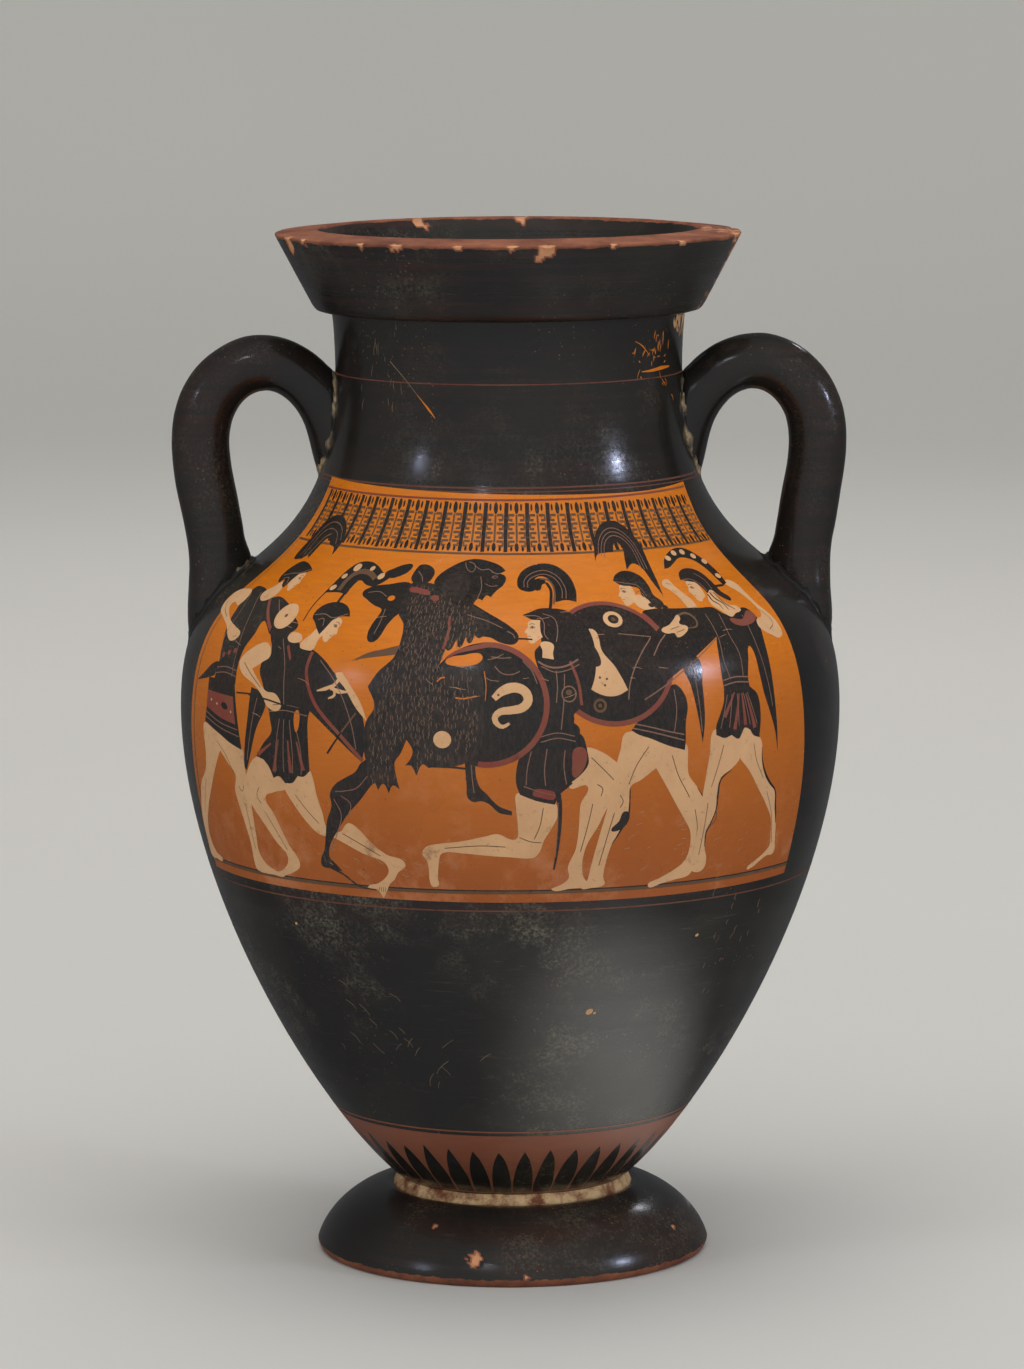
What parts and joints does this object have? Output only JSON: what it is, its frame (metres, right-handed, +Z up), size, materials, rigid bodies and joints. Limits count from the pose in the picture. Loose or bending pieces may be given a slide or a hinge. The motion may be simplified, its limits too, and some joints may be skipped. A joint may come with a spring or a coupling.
{
  "type": "two-handled belly amphora",
  "caption": "Footed storage jar with a wide belly, a flaring mouth and two round upright handles, painted with figured panels.",
  "frame": {"origin": "centre of the foot's resting plane, on the vessel's axis", "axes": "+Z up the vessel's axis; X runs through the two handles; -Y faces the front panel"},
  "size_m": [0.268, 0.2626, 0.41],
  "materials": {
    "black_gloss": "satin black gloss slip, brushed round, worn and flecked",
    "reserved_clay": "burnished orange clay left bare",
    "luting_clay": "pale matt clay at the joints",
    "added_white": "matt added white, yellowed",
    "added_red": "matt added red"
  },
  "bodies": {
    "root": {"foot": "black_gloss", "foot_joint_fillet": "luting_clay", "lower_body": "black_gloss", "belly_seam_coil": "reserved_clay", "upper_body": "black_gloss", "neck_seam_coil": "reserved_clay", "neck": "black_gloss", "mouth_seam_coil": "black_gloss", "mouth": "black_gloss", "handle_left": "black_gloss", "handle_right": "black_gloss", "luting_left_neck": "luting_clay", "luting_left_shoulder": "luting_clay", "luting_right_neck": "luting_clay", "luting_right_shoulder": "luting_clay"}
  },
  "joints": []
}
